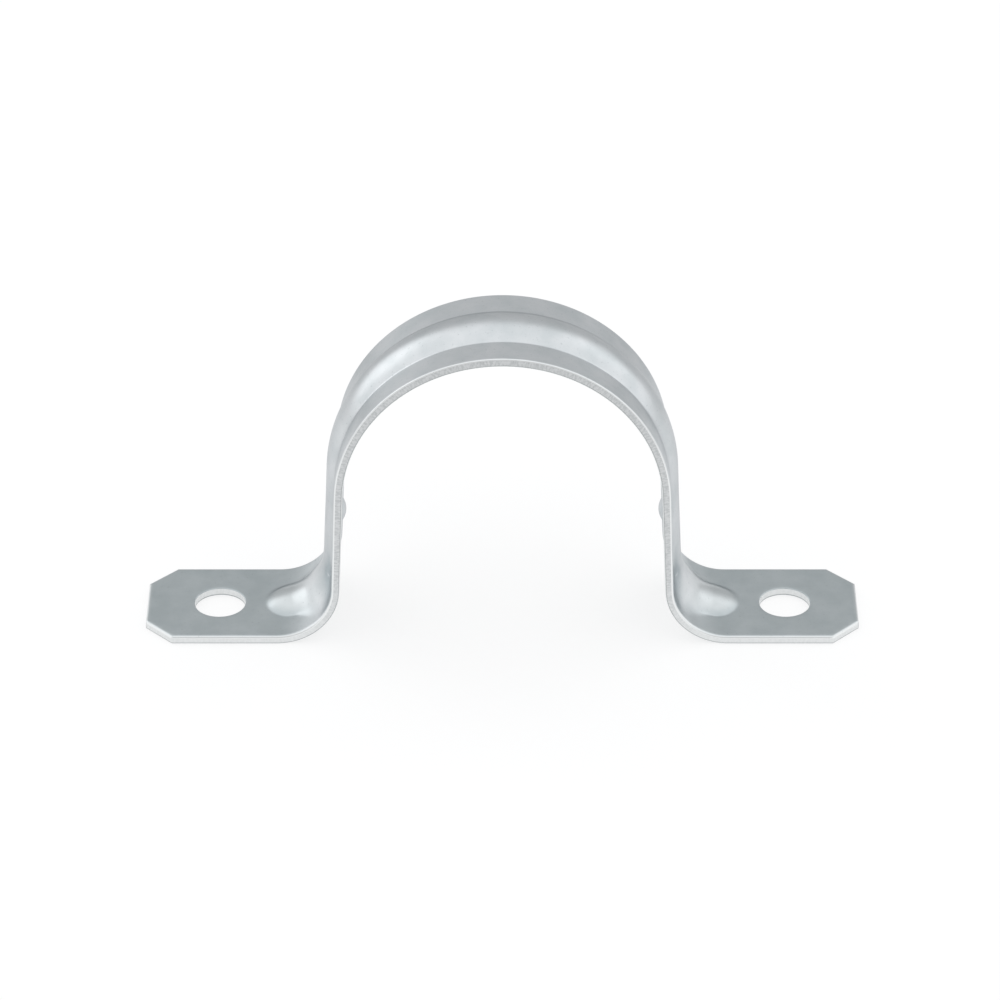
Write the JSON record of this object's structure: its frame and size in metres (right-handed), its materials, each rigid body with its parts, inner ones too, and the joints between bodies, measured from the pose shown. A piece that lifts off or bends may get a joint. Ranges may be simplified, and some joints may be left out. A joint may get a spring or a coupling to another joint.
{
  "type": "conduit strap",
  "caption": "Two-hole omega strap that fixes a rigid conduit to a wall: a ribbed half-round arch with snap dimples, two legs and two flat feet with cut corners.",
  "frame": {"origin": "centre of the wall plane that both feet stand on, midway between the two fixing holes", "axes": "+X along the strap from foot to foot, +Y across the strap along the conduit, +Z away from the wall"},
  "size_m": [0.1102, 0.019, 0.0524],
  "materials": {
    "zinc_plated_steel": "satin zinc plating on pressed sheet steel"
  },
  "bodies": {
    "root": {"conduit_strap": "zinc_plated_steel"}
  },
  "joints": []
}
